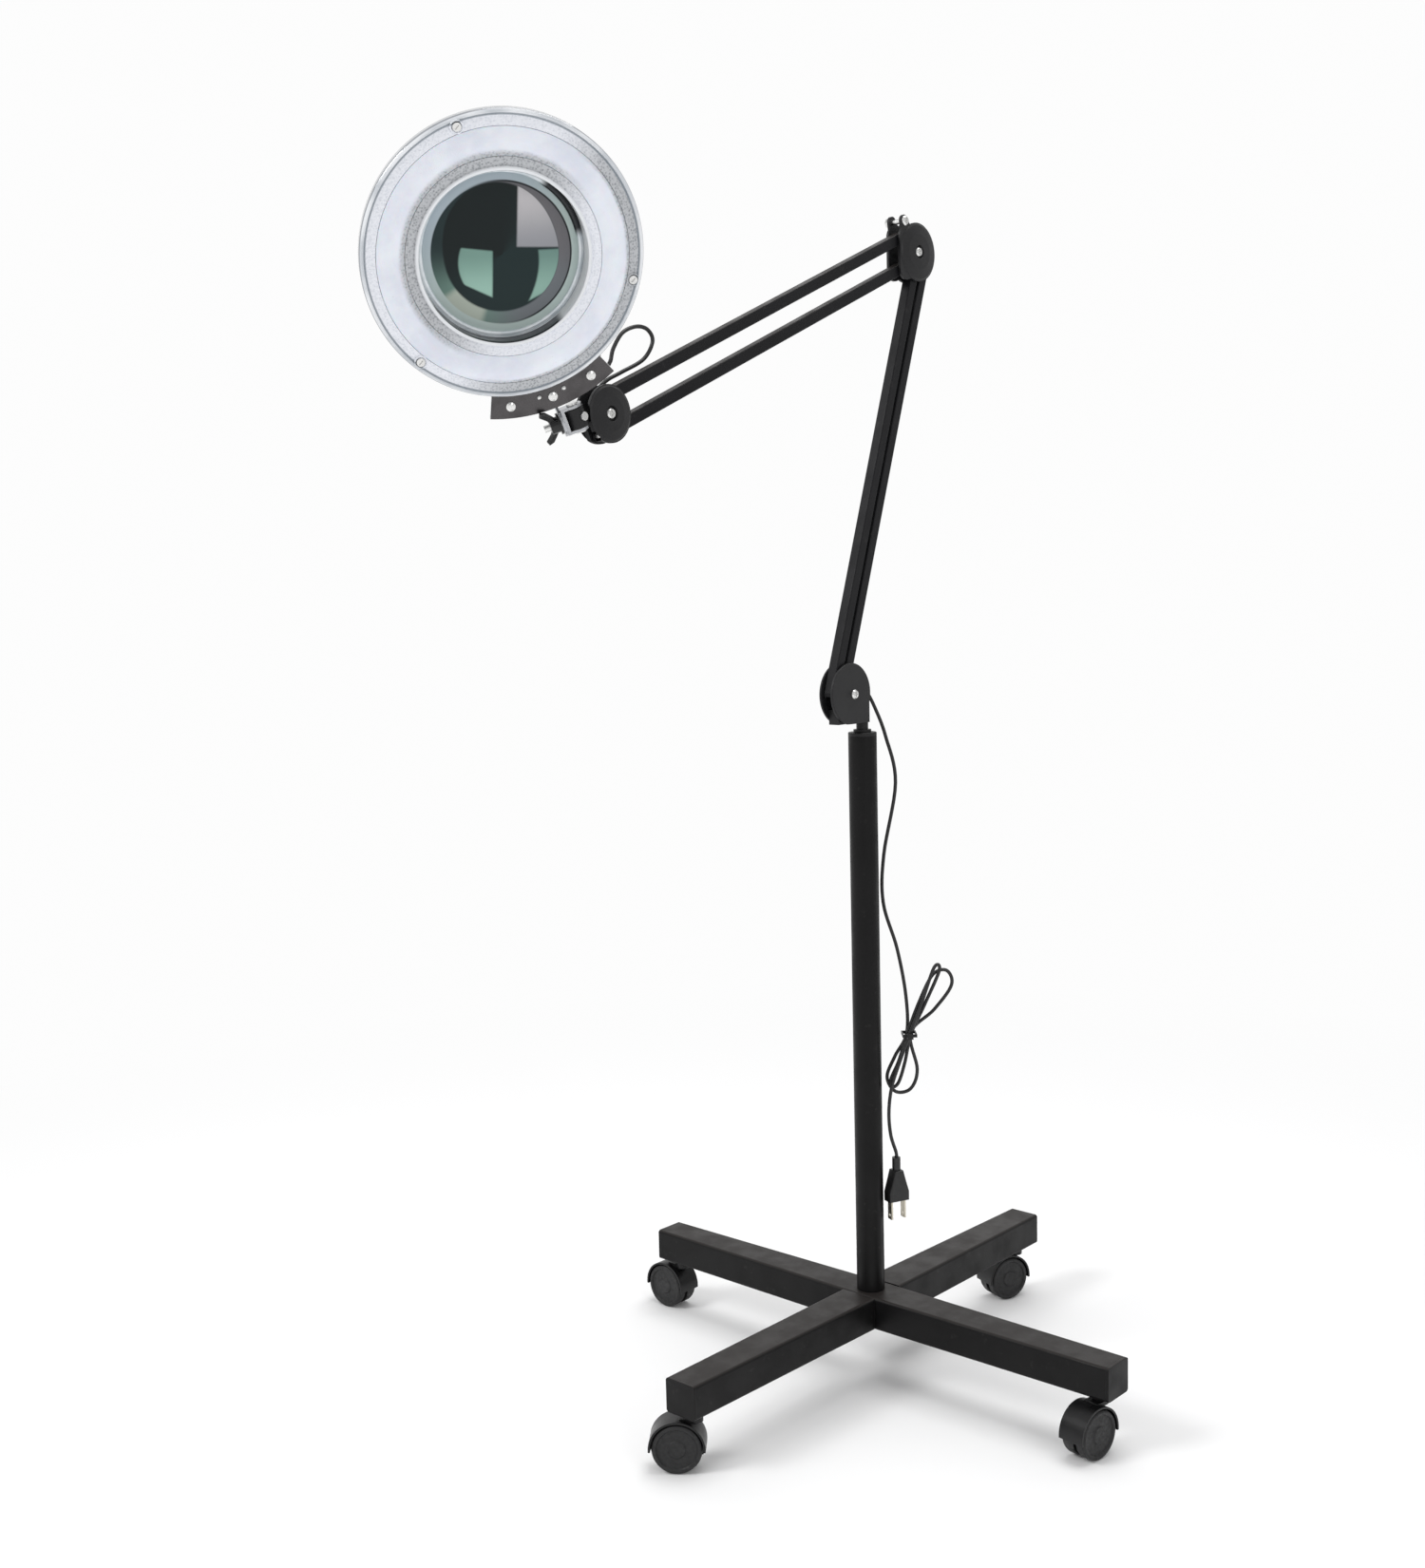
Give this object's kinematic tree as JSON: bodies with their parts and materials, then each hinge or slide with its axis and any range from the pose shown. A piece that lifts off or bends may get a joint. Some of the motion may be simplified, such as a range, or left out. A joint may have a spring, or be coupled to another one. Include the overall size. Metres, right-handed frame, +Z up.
{
  "type": "magnifying floor lamp",
  "caption": "Round lighted magnifier on a folding parallelogram arm, standing on a pole with a rolling cross base",
  "frame": {"origin": "On the pole's axis at floor level, where the wheels touch", "axes": "+Z up along the pole, X along the through beam of the base, arm folds in the YZ plane and reaches towards -Y"},
  "size_m": [0.5046, 0.7239, 0.9905],
  "materials": {
    "arm_paint": "satin black powder coat",
    "base_paint": "satin black powder coat",
    "blade_metal": "plated blades",
    "board_white": "white solder mask with small lamps",
    "bracket_steel": "dark gunmetal plate",
    "cable_black": "soft black sheath",
    "cap_plastic": "moulded matte black plastic",
    "caster_plastic": "moulded matte black plastic",
    "caster_tread": "dull black hard rubber",
    "cover_clear": "frosted translucent cover",
    "diffuser_white": "frosted white diffuser",
    "joint_plastic": "moulded matte black plastic",
    "lens_glass": "clear polished glass",
    "pole_paint": "satin black powder coat",
    "ring_bright": "bright ring",
    "shell_plastic": "off-white moulding",
    "switch_black": "black rocker",
    "wing_plastic": "polished black moulding",
    "yoke_plate": "bright nickel plate",
    "zinc": "bright zinc plate"
  },
  "bodies": {
    "stand": {"base_beam": "base_paint", "front_leg": "base_paint", "rear_leg": "base_paint", "leg_end_caps": "cap_plastic", "caster_sockets": "cap_plastic", "hub_bolt": "zinc", "pole_foot": "zinc", "pole": "pole_paint", "pole_bush": "cap_plastic"},
    "arm_base": {"spigot": "zinc", "lower_cheeks": "joint_plastic", "lower_screw": "zinc", "lower_pins": "zinc", "mains_cable": "cable_black", "cable_tie": "cable_black", "plug_body": "cable_black", "plug_blades": "blade_metal"},
    "lower_front": {"lower_front_bar": "arm_paint"},
    "lower_rear": {"lower_rear_bar": "arm_paint"},
    "elbow": {"elbow_cheeks": "joint_plastic", "elbow_screws": "zinc", "elbow_pins": "zinc"},
    "upper_low": {"upper_low_bar": "arm_paint"},
    "upper_top": {"upper_top_bar": "arm_paint"},
    "wrist": {"wrist_cheeks": "joint_plastic", "wrist_screws": "zinc", "wrist_pins": "zinc", "wrist_socket": "joint_plastic"},
    "yoke": {"swivel_pin": "zinc", "tilt_yoke": "yoke_plate", "tilt_stud": "zinc"},
    "wing_nut": {"wing_nut": "wing_plastic"},
    "head": {"tilt_ear": "yoke_plate", "bracket_plate": "bracket_steel", "bracket_rivets": "zinc", "rear_shell": "shell_plastic", "lens": "lens_glass", "lens_ring": "ring_bright", "led_board": "board_white", "diffuser_ring": "diffuser_white", "front_cover": "cover_clear", "cover_screws": "zinc", "head_cable": "cable_black"},
    "switch": {"switch_rocker": "switch_black"},
    "caster_front": {"caster_hood_front": "caster_plastic", "caster_stem_axle_front": "zinc"},
    "wheel_a_front": {"caster_wheel_a_front": "caster_tread"},
    "wheel_b_front": {"caster_wheel_b_front": "caster_tread"},
    "caster_right": {"caster_hood_right": "caster_plastic", "caster_stem_axle_right": "zinc"},
    "wheel_a_right": {"caster_wheel_a_right": "caster_tread"},
    "wheel_b_right": {"caster_wheel_b_right": "caster_tread"},
    "caster_rear": {"caster_hood_rear": "caster_plastic", "caster_stem_axle_rear": "zinc"},
    "wheel_a_rear": {"caster_wheel_a_rear": "caster_tread"},
    "wheel_b_rear": {"caster_wheel_b_rear": "caster_tread"},
    "caster_left": {"caster_hood_left": "caster_plastic", "caster_stem_axle_left": "zinc"},
    "wheel_a_left": {"caster_wheel_a_left": "caster_tread"},
    "wheel_b_left": {"caster_wheel_b_left": "caster_tread"}
  },
  "joints": [
    {"name": "caster_swivel_front", "type": "hinge", "parent": "stand", "child": "caster_front", "pos_m": [0, -0.226, 0.06], "axis": [0, 0, 1], "continuous": true},
    {"name": "wheel_a_front_roll", "type": "hinge", "parent": "caster_front", "child": "wheel_a_front", "pos_m": [-0.01088, -0.23481, 0.02], "axis": [0.6293, -0.7771, 0], "continuous": true},
    {"name": "wheel_b_front_roll", "type": "hinge", "parent": "caster_front", "child": "wheel_b_front", "pos_m": [-0.01088, -0.23481, 0.02], "axis": [0.6293, -0.7771, 0], "continuous": true},
    {"name": "caster_swivel_right", "type": "hinge", "parent": "stand", "child": "caster_right", "pos_m": [0.226, 0, 0.06], "axis": [0, 0, 1], "continuous": true},
    {"name": "wheel_a_right_roll", "type": "hinge", "parent": "caster_right", "child": "wheel_a_right", "pos_m": [0.22405, -0.01386, 0.02], "axis": [0.9903, -0.1392, 0], "continuous": true},
    {"name": "wheel_b_right_roll", "type": "hinge", "parent": "caster_right", "child": "wheel_b_right", "pos_m": [0.22405, -0.01386, 0.02], "axis": [0.9903, -0.1392, 0], "continuous": true},
    {"name": "caster_swivel_rear", "type": "hinge", "parent": "stand", "child": "caster_rear", "pos_m": [0, 0.226, 0.06], "axis": [0, 0, 1], "continuous": true},
    {"name": "wheel_a_rear_roll", "type": "hinge", "parent": "caster_rear", "child": "wheel_a_rear", "pos_m": [-0.00479, 0.21284, 0.02], "axis": [0.9397, -0.342, 0], "continuous": true},
    {"name": "wheel_b_rear_roll", "type": "hinge", "parent": "caster_rear", "child": "wheel_b_rear", "pos_m": [-0.00479, 0.21284, 0.02], "axis": [0.9397, -0.342, 0], "continuous": true},
    {"name": "caster_swivel_left", "type": "hinge", "parent": "stand", "child": "caster_left", "pos_m": [-0.226, 0, 0.06], "axis": [0, 0, 1], "continuous": true},
    {"name": "wheel_a_left_roll", "type": "hinge", "parent": "caster_left", "child": "wheel_a_left", "pos_m": [-0.24, 0, 0.02], "axis": [0, -1, 0], "continuous": true},
    {"name": "wheel_b_left_roll", "type": "hinge", "parent": "caster_left", "child": "wheel_b_left", "pos_m": [-0.24, 0, 0.02], "axis": [0, -1, 0], "continuous": true},
    {"name": "arm_swivel", "type": "hinge", "parent": "stand", "child": "arm_base", "pos_m": [0, 0, 0.56], "axis": [0, 0, 1], "range_deg": [-150, 150]},
    {"name": "lower_arm", "type": "hinge", "parent": "arm_base", "child": "lower_front", "pos_m": [0, -0.04085, 0.594], "axis": [1, 0, 0], "range_deg": [-20, 50]},
    {"name": "lower_rear_bar", "type": "hinge", "parent": "arm_base", "child": "lower_rear", "pos_m": [0, -0.02835, 0.594], "axis": [1, 0, 0], "range_deg": [-21, 51]},
    {"name": "elbow_level", "type": "hinge", "parent": "lower_front", "child": "elbow", "pos_m": [0, 0.07938, 0.9492], "axis": [1, 0, 0], "range_deg": [-51, 21]},
    {"name": "upper_arm", "type": "hinge", "parent": "elbow", "child": "upper_low", "pos_m": [0, 0.05983, 0.9445], "axis": [1, 0, 0], "range_deg": [-50, 20], "deforming": ["head_cable"]},
    {"name": "upper_top_bar", "type": "hinge", "parent": "elbow", "child": "upper_top", "pos_m": [0, 0.05983, 0.9695], "axis": [1, 0, 0], "range_deg": [-51, 21]},
    {"name": "wrist_level", "type": "hinge", "parent": "upper_low", "child": "wrist", "pos_m": [0, -0.29456, 0.79407], "axis": [1, 0, 0], "range_deg": [-21, 51]},
    {"name": "head_swivel", "type": "hinge", "parent": "wrist", "child": "yoke", "pos_m": [0, -0.318, 0.8055], "axis": [0, -0.4384, 0.8988], "range_deg": [-50, 5], "deforming": ["head_cable"]},
    {"name": "head_tilt", "type": "hinge", "parent": "yoke", "child": "head", "pos_m": [-0.00653, -0.32551, 0.80184], "axis": [-0.6157, -0.7083, -0.3454], "range_deg": [-70, 25], "deforming": ["head_cable"]},
    {"name": "wing_nut_turn", "type": "hinge", "parent": "head", "child": "wing_nut", "pos_m": [-0.00653, -0.32551, 0.80184], "axis": [-0.6157, -0.7083, -0.3454], "range_deg": [-120, 0]},
    {"name": "switch_rock", "type": "hinge", "parent": "head", "child": "switch", "pos_m": [0.01872, -0.43022, 0.97154], "axis": [-0.1233, 0.5195, -0.8455], "range_deg": [0, 16]}
  ],
  "couplings": [
    {"joint": "lower_rear_bar", "follows": "lower_arm", "ratio": 1},
    {"joint": "elbow_level", "follows": "lower_arm", "ratio": -1},
    {"joint": "upper_top_bar", "follows": "upper_arm", "ratio": 1},
    {"joint": "wrist_level", "follows": "upper_arm", "ratio": -1}
  ]
}
